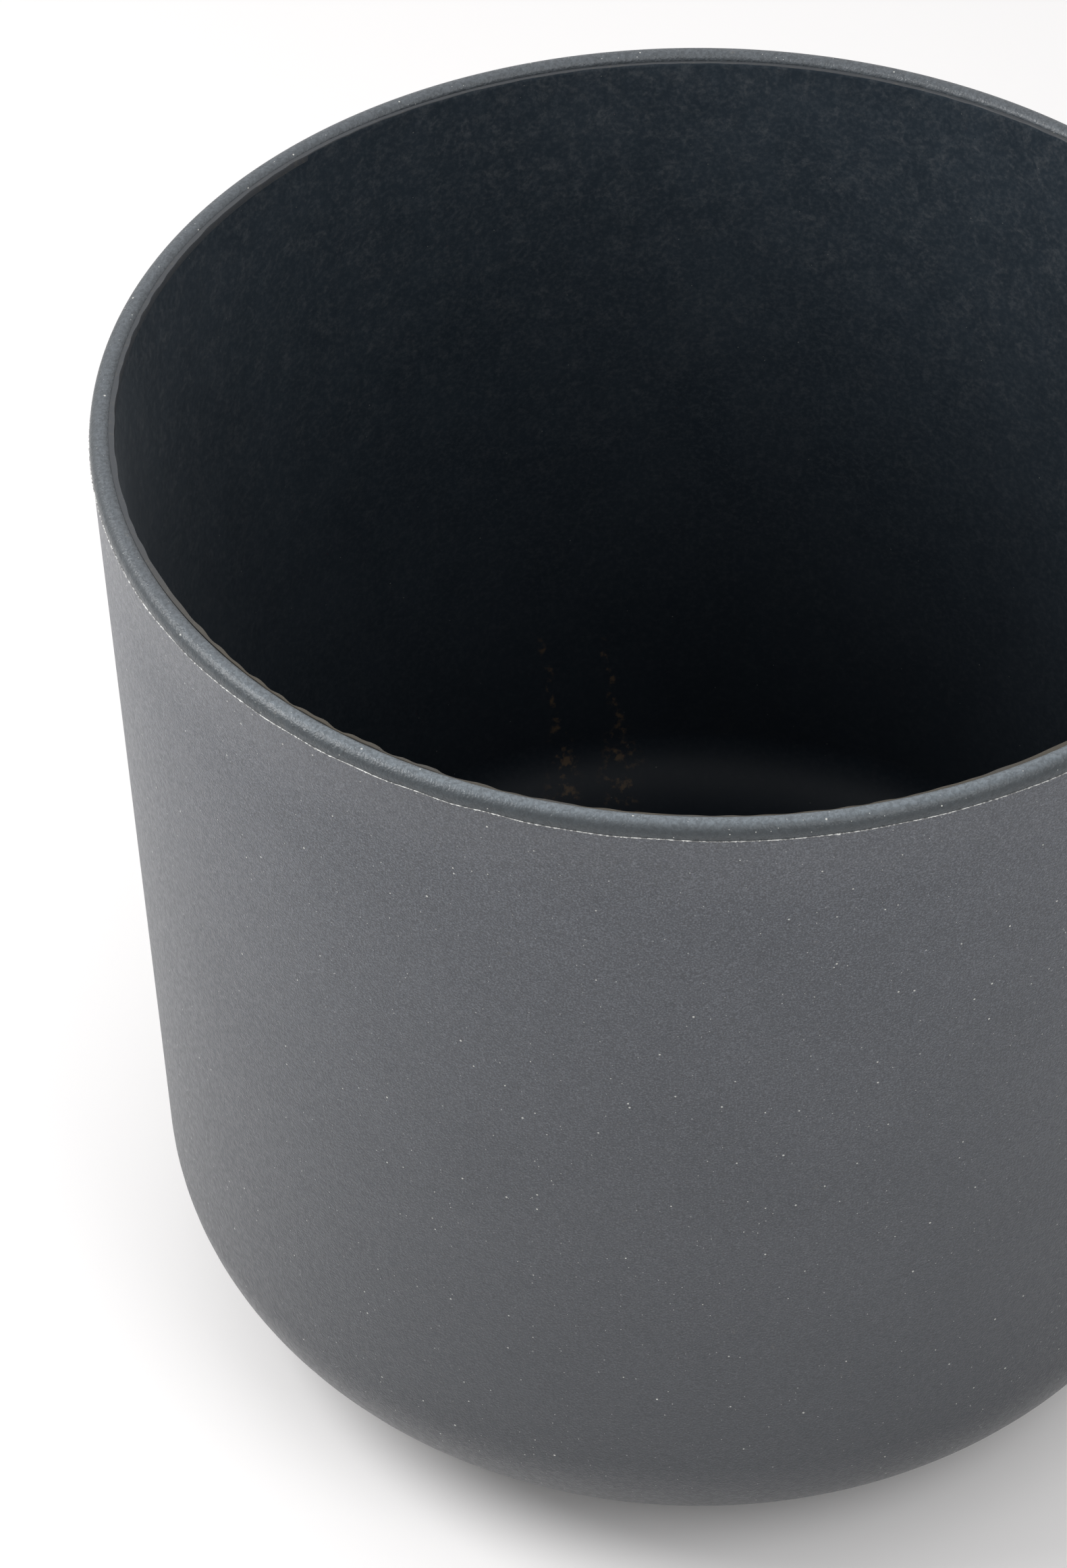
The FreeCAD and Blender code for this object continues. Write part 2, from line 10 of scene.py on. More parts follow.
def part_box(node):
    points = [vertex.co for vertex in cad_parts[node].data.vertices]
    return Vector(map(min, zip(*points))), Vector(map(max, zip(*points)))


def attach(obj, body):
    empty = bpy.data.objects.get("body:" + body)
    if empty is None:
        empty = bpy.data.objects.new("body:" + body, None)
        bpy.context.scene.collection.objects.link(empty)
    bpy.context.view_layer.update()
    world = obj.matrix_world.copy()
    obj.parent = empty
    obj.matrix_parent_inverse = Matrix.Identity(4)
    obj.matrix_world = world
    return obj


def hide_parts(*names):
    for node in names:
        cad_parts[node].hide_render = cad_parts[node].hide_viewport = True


MM = 0.001

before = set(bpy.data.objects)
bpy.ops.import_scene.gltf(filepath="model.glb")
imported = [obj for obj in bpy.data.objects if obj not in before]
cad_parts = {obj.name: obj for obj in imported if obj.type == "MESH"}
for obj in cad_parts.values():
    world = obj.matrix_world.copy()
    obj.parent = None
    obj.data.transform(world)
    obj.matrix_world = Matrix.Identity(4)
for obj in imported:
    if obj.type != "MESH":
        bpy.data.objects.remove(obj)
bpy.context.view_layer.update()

# ---------------------------------------------------------------- sizes, from the frame

RIM_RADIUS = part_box("outer_pot")[1].x
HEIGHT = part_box("outer_pot")[1].z
SLOPE = math.tan(math.radians(2.32))
BEAD_HEIGHT = 3.8 * MM
BEAD_STEP = 0.3 * MM
BEAD_ROUND = (2.6 * MM, 3.0 * MM)
LIP_ROUND = (2.0 * MM, 1.5 * MM)
MOUTH_RADIUS = RIM_RADIUS - 4.9 * MM
MOUTH_DEPTH = 35.0 * MM
FOOT_RADIUS = 71.3 * MM
FOOT_RING = 7.0 * MM
BASE_RECESS = 1.5 * MM
CORNER = (67.1 * MM, 53.5 * MM)
POT_WALL = 3.0 * MM
POT_FLOOR = 4.5 * MM
DRAIN_RADIUS = 8.0 * MM
DIMPLE_RADIUS = 20.0 * MM
DIMPLE_TOP = 5.0 * MM

LINER_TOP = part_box("inner_pot")[1].z
LINER_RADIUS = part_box("inner_pot")[1].x
LINER_WALL = 1.8 * MM
LINER_EDGE = 0.85 * MM
LINER_EDGE_DEPTH = 12.0 * MM
FLOOR_TOP = 38.0 * MM
FLOOR_THICKNESS = 2.0 * MM
FLOOR_RADIUS = 112.0 * MM
FLOOR_ROUND = 16.0 * MM
SEAT_RADIUS = 92.0 * MM
LEDGE_RADIUS = 86.0 * MM
LEDGE_THICKNESS = 2.0 * MM
COLLAR_HEIGHT = 8.0 * MM
COLLAR_WALL = 2.0 * MM
TUBE_GAP = 0.12 * MM
TUBE_SHOULDER = 2.6 * MM

# ---------------------------------------------------------------- wear, bearings in degrees from +X

SHELL_SEGMENTS = 720
FLASH_SEGMENTS = 2880
FAR_SEAM = (90, 42)
NEAR_SEAM = (236, 18)
TRIMMED_BAND = 0.3 * MM
DRIPS = ((-39 * MM, 96 * MM), (-22.5 * MM, 92 * MM))
DRIP_FOOT = 50 * MM
DRIP_LEAN = -0.12

# ---------------------------------------------------------------- camera

CAMERA_DISTANCE = 9.6825 * RIM_RADIUS
CAMERA_ELEVATION = math.radians(39.12)
CAMERA_PITCH = math.radians(42.755)
CAMERA_YAW = math.radians(-2.166)
CAMERA_ROLL = math.radians(-0.302)
LENS = 136.9
SENSOR_WIDTH = 36.0
CLIP = (0.05, 50.0)

# ---------------------------------------------------------------- studio

FLOOR_HALF = 8.0
WORLD_STRENGTH = 0.765
SOFTBOX = 0.60
KEY_PLACE, KEY_AIM, KEY_WATTS = (-0.74, -0.06, 0.85), (0.0, 0.0, 0.20), 7.2
FILL_PLACE, FILL_AIM, FILL_WATTS = (0.46, -0.62, 0.94), (0.05, -0.12, 0.05), 2.3


def add_camera():
    """The camera stands in front of the pot and looks down, aimed a little to the left of its axis."""
    ahead = Vector((
        math.sin(CAMERA_YAW) * math.cos(CAMERA_PITCH),
        math.cos(CAMERA_YAW) * math.cos(CAMERA_PITCH),
        -math.sin(CAMERA_PITCH),
    ))
    right = Vector((math.cos(CAMERA_YAW), -math.sin(CAMERA_YAW), 0.0))
    up = right.cross(ahead)
    turned_right = right * math.cos(CAMERA_ROLL) + up * math.sin(CAMERA_ROLL)
    turned_up = up * math.cos(CAMERA_ROLL) - right * math.sin(CAMERA_ROLL)
    place = Vector((
        0.0,
        -CAMERA_DISTANCE * math.cos(CAMERA_ELEVATION),
        HEIGHT + CAMERA_DISTANCE * math.sin(CAMERA_ELEVATION),
    ))
    data = bpy.data.cameras.new("camera")
    data.lens = LENS
    data.sensor_width = SENSOR_WIDTH
    data.clip_start, data.clip_end = CLIP
    camera = bpy.data.objects.new("camera", data)
    bpy.context.scene.collection.objects.link(camera)
    turn = Matrix((turned_right, turned_up, -ahead)).transposed()
    camera.matrix_world = Matrix.Translation(place) @ turn.to_4x4()
    bpy.context.scene.camera = camera


add_camera()

# ---------------------------------------------------------------- material helpers


class Nodes:
    """A thin wrapper that makes shader nodes and links in one call."""

    def __init__(self, name):
        self.material = bpy.data.materials.new(name)
        self.material.use_nodes = True
        self.tree = self.material.node_tree
        self.tree.nodes.clear()
        self.shader = self.add("ShaderNodeBsdfPrincipled")
        output = self.add("ShaderNodeOutputMaterial")
        self.tree.links.new(self.shader.outputs[0], output.inputs["Surface"])
        coordinates = self.add("ShaderNodeTexCoord").outputs
        self.place, self.normal = coordinates["Object"], coordinates["Normal"]

    def add(self, kind, inputs=(), **settings):
        node = self.tree.nodes.new(kind)
        for key, value in settings.items():
            setattr(node, key, value)
        for key, value in dict(inputs).items():
            self.feed(node.inputs[key], value)
        return node

    def feed(self, socket, value):
        if isinstance(value, bpy.types.NodeSocket):
            self.tree.links.new(value, socket)
        else:
            socket.default_value = value

    def noise(self, size, detail=3.0, roughness=0.5, place=None, distortion=0.0):
        """Noise whose features are about that many metres across."""
        inputs = {"Vector": place or self.place, "Scale": 1.0 / size, "Detail": detail,
                  "Roughness": roughness, "Distortion": distortion}
        return self.add("ShaderNodeTexNoise", inputs).outputs["Fac"]

    def cells(self, size, place=None):
        """Distance to the nearest of many scattered points, about that many metres apart."""
        inputs = {"Vector": place or self.place, "Scale": 1.0 / size, "Randomness": 1.0}
        return self.add("ShaderNodeTexVoronoi", inputs).outputs

    def ramp(self, value, low, high, to_low=0.0, to_high=1.0, smooth=True):
        """Maps low..high to to_low..to_high, clamped."""
        kind = "SMOOTHSTEP" if smooth else "LINEAR"
        inputs = {"Value": value, "From Min": low, "From Max": high, "To Min": to_low, "To Max": to_high}
        return self.add("ShaderNodeMapRange", inputs, interpolation_type=kind).outputs["Result"]

    def math(self, operation, a, b=0.0, c=0.0):
        node = self.add("ShaderNodeMath", operation=operation)
        for socket, value in zip(node.inputs, (a, b, c)):
            self.feed(socket, value)
        return node.outputs[0]

    def mix(self, factor, a, b):
        node = self.add("ShaderNodeMix", data_type="RGBA")
        for key, value in (("Factor_Float", factor), ("A_Color", a), ("B_Color", b)):
            socket = next(s for s in node.inputs if s.identifier == key)
            self.feed(socket, value)
        return next(s for s in node.outputs if s.identifier == "Result_Color")

    def bump(self, height, distance, strength=1.0, normal=None):
        inputs = {"Height": height, "Distance": distance, "Strength": strength}
        if normal is not None:
            inputs["Normal"] = normal
        return self.add("ShaderNodeBump", inputs).outputs["Normal"]

    def split(self, vector):
        return self.add("ShaderNodeSeparateXYZ", {"Vector": vector}).outputs

    def set(self, **values):
        for key, value in values.items():
            self.feed(self.shader.inputs[key.replace("_", " ")], value)
        return self.material


def grey(value, warmth=0.0):
    """A near-neutral colour; positive warmth leans to brown, negative to blue."""
    return (value * (1 + warmth), value, value * (1 - warmth), 1.0)


# ---------------------------------------------------------------- materials


def dust(n, spacing, smallest, largest, seed):
    """A mask of scattered round specks that far apart on average; the sizes are their radii in metres."""
    shift = n.add("ShaderNodeMapping", {"Vector": n.place, "Location": (seed, seed, seed)})
    cell = n.cells(spacing, place=shift.outputs["Vector"])
    size = n.split(cell["Color"])["X"]
    reach = n.ramp(size, 0.3, 1.0, smallest / spacing, largest / spacing, smooth=False)
    return n.math("LESS_THAN", cell["Distance"], reach)


def outer_plastic():
    """Matt spark-eroded plastic with specks of pale dust, painted darker downwards and in the bottom
    corner as painted shade; the bead is smoother, its top painted paler as painted light from above and
    palest along the near side as a painted highlight.
    """
    n = Nodes("outer_plastic")
    place = n.split(n.place)
    height = place["Z"]
    bead = n.ramp(height, HEIGHT - BEAD_HEIGHT - 0.1 * MM, HEIGHT - BEAD_HEIGHT + 0.1 * MM)
    fine = n.noise(0.42 * MM, detail=1.5, roughness=0.6)
    pits = n.cells(0.62 * MM)["Distance"]
    worms = n.noise(1.0 * MM, detail=2.0, roughness=0.6, distortion=0.7)
    cloud = n.noise(38 * MM, detail=4.0, roughness=0.6)
    wall = n.mix(n.ramp(cloud, 0.35, 0.65), (0.052, 0.059, 0.073, 1), (0.062, 0.069, 0.084, 1))
    wall = n.mix(n.ramp(fine, 0.36, 0.56, 0.58, 0.0), wall, (0.020, 0.022, 0.027, 1))
    wall = n.mix(n.ramp(fine, 0.50, 0.70, 0.0, 0.62), wall, (0.142, 0.153, 0.174, 1))
    # painted shade: the wall darkens steadily downwards
    wall = n.mix(n.ramp(height, -0.02, HEIGHT, 0.96, 0.0, smooth=False), wall, (0.011, 0.0145, 0.020, 1))
    # painted shade: darker still in the rounded bottom corner, which faces down
    wall = n.mix(n.ramp(height, 0.0, 0.07, 0.55, 0.0), wall, (0.012, 0.013, 0.015, 1))
    squares = n.math("POWER", place["X"], 2.0), n.math("POWER", place["Y"], 2.0)
    radius = n.math("SQRT", n.math("ADD", *squares))
    # painted light: the bead's top is painted paler than its side, as if lit from above, and a little less
    # pale on the lip's inward-facing round as painted shade
    painted_light_top = n.ramp(radius, RIM_RADIUS - 2.4 * MM, RIM_RADIUS - 0.3 * MM, 1.0, 0.0)
    painted_light_top = n.math("MULTIPLY", painted_light_top, n.ramp(radius, MOUTH_RADIUS, MOUTH_RADIUS + 1.6 * MM, 0.72, 1.0))
    # painted highlight: the top is paler again along the near side
    near = n.ramp(place["Y"], -0.13, -0.06, 1.0, 0.0)
    painted_highlight_crest = n.mix(near, (0.094, 0.106, 0.119, 1), (0.152, 0.176, 0.197, 1))
    rim = n.mix(painted_light_top, (0.040, 0.049, 0.056, 1), painted_highlight_crest)
    rim = n.mix(n.ramp(worms, 0.3, 0.7, 0.45, 0.0), rim, (0.012, 0.015, 0.018, 1))
    colour = n.mix(bead, wall, rim)
    large = n.math("MULTIPLY", dust(n, 3.6 * MM, 0.10 * MM, 0.28 * MM, 0.0), 0.68)
    small = n.math("MULTIPLY", dust(n, 1.8 * MM, 0.05 * MM, 0.15 * MM, 7.0), 0.72)
    colour = n.mix(large, colour, (0.66, 0.66, 0.62, 1))
    colour = n.mix(small, colour, (0.55, 0.55, 0.53, 1))
    blotch = n.ramp(n.noise(6.5 * MM, detail=5.0, roughness=0.75), 0.66, 0.74, 0.0, 0.12)
    colour = n.mix(blotch, colour, (0.25, 0.22, 0.16, 1))
    grain = n.bump(n.math("ADD", fine, pits), 0.10 * MM, 0.8)
    grain = n.bump(n.math("MULTIPLY", worms, bead), 0.16 * MM, 0.8, normal=grain)
    scatter = n.noise(1.5 * MM)
    rough = n.math("SUBTRACT", n.ramp(scatter, 0.3, 0.7, 0.38, 0.50), n.math("MULTIPLY", bead, 0.02))
    return n.set(
        Base_Color=colour, Roughness=rough, Normal=grain, IOR=1.55, Sheen_Weight=0.08, Sheen_Roughness=0.4
    )


def drip(n, x, top):
    """A dotted trail of dried drops down the inside of the far wall, leaning a little to the right."""
    place = n.split(n.place)
    wobble = n.ramp(n.noise(14 * MM, detail=2.0), 0.3, 0.7, -1.2 * MM, 1.2 * MM)
    line = n.math("MULTIPLY_ADD", n.math("SUBTRACT", place["Z"], DRIP_FOOT), DRIP_LEAN, x)
    across = n.math("ABSOLUTE", n.math("SUBTRACT", place["X"], n.math("ADD", line, wobble)))
    width = n.ramp(place["Z"], 40 * MM, 68 * MM, 7.5 * MM, 1.3 * MM)
    body = n.ramp(n.math("DIVIDE", across, width), 0.3, 1.0, 1.0, 0.0)
    length = n.ramp(place["Z"], top - 12 * MM, top, 1.0, 0.0)
    far = n.math("GREATER_THAN", place["Y"], 60 * MM)
    inside = n.math("MULTIPLY", far, n.math("LESS_THAN", n.split(n.normal)["Y"], 0.1))
    return n.math("MULTIPLY", n.math("MULTIPLY", body, length), inside)


def inner_plastic():
    """Smooth, nearly black plastic with dust clouds and two dried drip trails; the clouds thin downwards
    and the plastic darkens downwards, both painted shade that deepens inside the pot.
    """
    n = Nodes("inner_plastic")
    height = n.split(n.place)["Z"]
    cloud = n.noise(24 * MM, detail=5.0, roughness=0.65)
    patch = n.noise(5 * MM, detail=5.0, roughness=0.75, distortion=0.5)
    mottle = n.noise(1.3 * MM, detail=4.0, roughness=0.7)
    base = n.mix(n.ramp(cloud, 0.3, 0.7), (0.0128, 0.0205, 0.0290, 1), (0.0174, 0.0263, 0.0360, 1))
    colour = n.mix(n.ramp(mottle, 0.40, 0.75, 0.0, 0.45), base, (0.052, 0.063, 0.074, 1))
    # the film is real dust in patches, but its thinning downwards is painted shade
    dust_film_with_painted_shade = n.math("MULTIPLY", n.ramp(patch, 0.44, 0.72, 0.0, 0.32), n.ramp(height, 0.10, 0.26, 0.30, 1.0))
    dust_film_with_painted_shade = n.math("MULTIPLY", dust_film_with_painted_shade, n.ramp(mottle, 0.35, 0.6, 0.3, 1.0))
    colour = n.mix(dust_film_with_painted_shade, colour, (0.095, 0.100, 0.105, 1))
    # painted shade: the inside darkens steadily downwards, deeper in the pot
    colour = n.mix(n.ramp(height, 0.03, 0.24, 0.74, 0.0, smooth=False), colour, (0.003, 0.005, 0.009, 1))
    large = n.math("MULTIPLY", dust(n, 4 * MM, 0.05 * MM, 0.18 * MM, 3.0), 0.5)
    colour = n.mix(large, colour, (0.20, 0.20, 0.19, 1))
    drops = n.ramp(n.noise(2.8 * MM, detail=3.0, roughness=0.6), 0.50, 0.68)
    trails = n.math("MAXIMUM", *(drip(n, x, top) for x, top in DRIPS))
    trails = n.math("MULTIPLY", n.math("MULTIPLY", trails, drops), 0.55)
    colour = n.mix(trails, colour, (0.125, 0.080, 0.042, 1))
    rough = n.ramp(mottle, 0.3, 0.7, 0.54, 0.64)
    grain = n.bump(n.noise(1.3 * MM, detail=3.0), 0.03 * MM, 0.5)
    return n.set(
        Base_Color=colour, Roughness=rough, Normal=grain, IOR=1.30, Sheen_Weight=0.07, Sheen_Roughness=0.45
    )


def edge_plastic():
    """The inner pot's trimmed top edge: dull grey, stained olive brown along the near side."""
    n = Nodes("edge_plastic")
    grain = n.noise(1.6 * MM, detail=3.0, roughness=0.7)
    patch = n.noise(16 * MM, detail=3.0)
    near = n.ramp(n.split(n.place)["Y"], -0.10, -0.04, 1.0, 0.0)
    stain = n.math("MULTIPLY", near, n.ramp(patch, 0.2, 0.6, 0.5, 1.0))
    colour = n.mix(stain, (0.046, 0.050, 0.056, 1), (0.056, 0.048, 0.036, 1))
    colour = n.mix(n.ramp(grain, 0.5, 0.8, 0.0, 0.3), colour, (0.12, 0.11, 0.09, 1))
    return n.set(Base_Color=colour, Roughness=0.5, Normal=n.bump(grain, 0.05 * MM, 0.6), IOR=1.48)


def flash_plastic():
    """The parting flash, whitened where the plastic is stretched and torn."""
    n = Nodes("flash_plastic")
    grain = n.noise(1.0 * MM, detail=3.0, roughness=0.7)
    colour = n.mix(n.ramp(grain, 0.40, 0.62), (0.16, 0.16, 0.16, 1), (0.72, 0.72, 0.70, 1))
    return n.set(Base_Color=colour, Roughness=0.55, Normal=n.bump(grain, 0.05 * MM, 0.6), IOR=1.5)


def moulded_black(name, tone, gloss):
    """Satin moulded plastic for the hidden fittings, with faint mottle and fine grain."""
    n = Nodes(name)
    mottle = n.noise(7 * MM, detail=4.0, roughness=0.65)
    fine = n.noise(0.8 * MM, detail=2.0)
    colour = n.mix(n.ramp(mottle, 0.35, 0.7), grey(tone, -0.04), grey(tone * 1.35, -0.02))
    rough = n.ramp(fine, 0.3, 0.7, gloss, gloss + 0.12)
    return n.set(Base_Color=colour, Roughness=rough, Normal=n.bump(fine, 0.04 * MM, 0.5), IOR=1.5)


def rubber():
    """Soft black rubber with a powdery bloom."""
    n = Nodes("rubber")
    bloom = n.noise(5 * MM, detail=5.0, roughness=0.7)
    fine = n.noise(0.6 * MM, detail=2.0)
    colour = n.mix(n.ramp(bloom, 0.45, 0.75), grey(0.018), grey(0.045, 0.03))
    rough = n.ramp(bloom, 0.3, 0.7, 0.62, 0.8)
    return n.set(Base_Color=colour, Roughness=rough, Normal=n.bump(fine, 0.05 * MM, 0.5), IOR=1.52)


def steel():
    """Drawn wire with fine lines along the pin."""
    n = Nodes("steel")
    stretch = n.add("ShaderNodeMapping", {"Vector": n.place, "Scale": (1.0, 0.04, 1.0)}).outputs["Vector"]
    lines = n.noise(0.12 * MM, detail=2.0, place=stretch)
    rough = n.ramp(lines, 0.3, 0.7, 0.22, 0.4)
    colour = n.mix(n.ramp(lines, 0.3, 0.7), (0.50, 0.50, 0.49, 1), (0.62, 0.62, 0.61, 1))
    return n.set(Base_Color=colour, Metallic=1.0, Roughness=rough, Normal=n.bump(lines, 0.01 * MM, 0.3))


def float_foam():
    """Pale closed-cell foam."""
    n = Nodes("float_foam")
    cells = n.cells(0.9 * MM)["Distance"]
    colour = n.mix(n.ramp(cells, 0.1, 0.7), (0.62, 0.61, 0.56, 1), (0.78, 0.77, 0.72, 1))
    return n.set(Base_Color=colour, Roughness=0.7, Normal=n.bump(cells, 0.08 * MM, 0.7), IOR=1.4)


def marker_red():
    """Glossy red bead."""
    n = Nodes("marker_red")
    cloud = n.noise(3 * MM, detail=3.0)
    colour = n.mix(n.ramp(cloud, 0.3, 0.7), (0.52, 0.018, 0.012, 1), (0.64, 0.03, 0.02, 1))
    rough = n.ramp(n.noise(0.9 * MM), 0.3, 0.7, 0.18, 0.3)
    return n.set(Base_Color=colour, Roughness=rough, IOR=1.5)


def clear_plastic():
    """Clear polystyrene with fine hazy scratches."""
    n = Nodes("clear_plastic")
    haze = n.noise(2.5 * MM, detail=5.0, roughness=0.75)
    rough = n.ramp(haze, 0.4, 0.8, 0.03, 0.22)
    colour = n.mix(n.ramp(haze, 0.4, 0.8), (0.93, 0.95, 0.95, 1), (0.85, 0.88, 0.88, 1))
    return n.set(Base_Color=colour, Roughness=rough, Transmission_Weight=1.0, IOR=1.45)


# ---------------------------------------------------------------- mesh helpers


def arc(centre, radii, start, end, steps):
    """Points along an elliptical arc; angles in degrees, 0 outwards and 90 up."""
    for k in range(steps + 1):
        angle = math.radians(start + (end - start) * k / steps)
        yield centre[0] + radii[0] * math.cos(angle), centre[1] + radii[1] * math.sin(angle)


def straight(start, end, steps):
    """Points between two points, both ends left out."""
    for k in range(1, steps):
        t = k / steps
        yield start[0] + (end[0] - start[0]) * t, start[1] + (end[1] - start[1]) * t


def corner(centre_r, centre_z, run, rise, steps, slope=SLOPE):
    """A quarter ellipse from a wall of that slope down to the floor."""
    start = math.degrees(math.atan(slope * rise / run))
    return list(arc((centre_r, centre_z), (run, rise), -start, -90, steps))


def link(name, mesh, material, body, replaced=()):
    piece = bpy.data.objects.new(name, mesh)
    bpy.context.scene.collection.objects.link(piece)
    mesh.materials.append(material)
    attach(piece, body)
    if replaced:
        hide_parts(*replaced)
    return piece


def lathe_mesh(name, outline, segments, centre=(0.0, 0.0), shape=None, smooth_angle=40.0):
    """A closed mesh from a closed outline of (radius, height) points turned about a vertical axis.

    shape(angles, radius, height) may return changed radii and heights for one ring.
    """
    angles = np.linspace(0.0, 2 * math.pi, segments, endpoint=False)
    rings = []
    for radius, height in outline:
        r, z = (radius, height) if shape is None else shape(angles, radius, height)
        r, z = np.broadcast_to(r, angles.shape), np.broadcast_to(z, angles.shape)
        rings.append(np.column_stack((centre[0] + r * np.cos(angles), centre[1] + r * np.sin(angles), z)))
    count = len(rings)
    ring, step = np.meshgrid(np.arange(count), np.arange(segments), indexing="ij")
    after_ring, after_step = (ring + 1) % count, (step + 1) % segments
    faces = np.stack((
        ring * segments + step,
        ring * segments + after_step,
        after_ring * segments + after_step,
        after_ring * segments + step,
    ), axis=-1).reshape(-1, 4)
    mesh = bpy.data.meshes.new(name)
    mesh.from_pydata(np.concatenate(rings).tolist(), [], faces.tolist())
    mesh.update()
    mesh.shade_smooth()
    mesh.set_sharp_from_angle(angle=math.radians(smooth_angle))
    return mesh


def ripple(angles, seed, waves, lowest, highest):
    """A smooth closed random curve of unit size over the turn, from waves of lowest..highest cycles."""
    random = np.random.default_rng(seed)
    total = np.zeros_like(angles)
    for _ in range(waves):
        cycles = random.integers(lowest, highest + 1)
        total += np.sin(angles * cycles + random.uniform(0, 2 * math.pi))
    return total / math.sqrt(waves / 2)


# ---------------------------------------------------------------- outer pot


def outer_pot_outline():
    """Closed outline, from the drain hole's lower edge outwards, up the outside and down the inside."""
    foot_inner = FOOT_RADIUS - FOOT_RING
    bead_bottom = HEIGHT - BEAD_HEIGHT
    outside = corner(FOOT_RADIUS, CORNER[1], CORNER[0], CORNER[1], 26)[::-1]
    wall_top_z = bead_bottom - BEAD_STEP
    wall_top = (outside[-1][0] + SLOPE * (wall_top_z - outside[-1][1]), wall_top_z)
    bead_centre = (RIM_RADIUS - BEAD_ROUND[0], HEIGHT - BEAD_ROUND[1])
    lip_centre = (MOUTH_RADIUS + LIP_ROUND[0], HEIGHT - LIP_ROUND[1])
    mouth_bottom = HEIGHT - MOUTH_DEPTH
    run = CORNER[0] - POT_WALL
    slope = (MOUTH_RADIUS - FOOT_RADIUS - run) / (mouth_bottom - CORNER[1])
    inside = corner(FOOT_RADIUS, CORNER[1], run, CORNER[1] - POT_FLOOR, 16, slope)
    boss = DIMPLE_RADIUS + POT_WALL
    boss_top = DIMPLE_TOP + POT_WALL
    outline = [(DRAIN_RADIUS, DIMPLE_TOP), (DIMPLE_RADIUS, DIMPLE_TOP)]
    outline += arc((DIMPLE_RADIUS + 0.4 * MM, BASE_RECESS + 0.4 * MM), (0.4 * MM, 0.4 * MM), 180, 270, 3)
    outline += [(foot_inner, BASE_RECESS), (foot_inner + BASE_RECESS, 0.0)]
    outline += outside
    outline += straight(outside[-1], wall_top, 10)
    outline += [wall_top, (RIM_RADIUS, bead_bottom)]
    outline += arc(bead_centre, BEAD_ROUND, 0, 90, 12)
    outline += arc(lip_centre, LIP_ROUND, 90, 180, 10)
    outline += [(MOUTH_RADIUS, mouth_bottom)]
    outline += straight((MOUTH_RADIUS, mouth_bottom), inside[0], 6)
    outline += inside
    outline += [(boss, POT_FLOOR)]
    outline += arc((boss - 1.5 * MM, boss_top - 1.5 * MM), (1.5 * MM, 1.5 * MM), 0, 90, 4)
    outline += [(DRAIN_RADIUS, boss_top)]
    return outline


def add_outer_pot(material):
    mesh = lathe_mesh("outer_pot_shell", outer_pot_outline(), SHELL_SEGMENTS)
    link("outer_pot_shell", mesh, material, "outer_pot", ["outer_pot"])


def add_parting_flash(material):
    """A thin torn ridge where the mould's halves met, just under the bead, with a few larger burrs."""
    bottom = HEIGHT - BEAD_HEIGHT

    def torn(angles, radius, height):
        out = radius - RIM_RADIUS
        wander = 0.10 * MM * ripple(angles, 3, 30, 5, 60)
        nibble = 0.5 + 0.5 * ripple(angles, 4, 60, 300, 1300)
        burrs = np.clip(ripple(angles, 5, 40, 60, 420) - 1.6, 0, 1.2)
        reach = np.clip(0.40 + 0.55 * nibble + 0.9 * burrs, 0.05, 2.2)
        lift = np.where(height > bottom, 1.0 + 0.8 * burrs, 1.0)
        return RIM_RADIUS + np.where(out > 0, out * reach, out), bottom + wander + (height - bottom) * lift

    outline = [
        (RIM_RADIUS - 0.35 * MM, bottom - 0.20 * MM),
        (RIM_RADIUS + 0.04 * MM, bottom - 0.12 * MM),
        (RIM_RADIUS + 0.22 * MM, bottom - 0.02 * MM),
        (RIM_RADIUS + 0.20 * MM, bottom + 0.06 * MM),
        (RIM_RADIUS - 0.10 * MM, bottom + 0.14 * MM),
        (RIM_RADIUS - 0.35 * MM, bottom + 0.14 * MM),
    ]
    mesh = lathe_mesh("parting_flash", outline, FLASH_SEGMENTS, shape=torn)
    link("parting_flash", mesh, material, "outer_pot")


# ---------------------------------------------------------------- inner pot


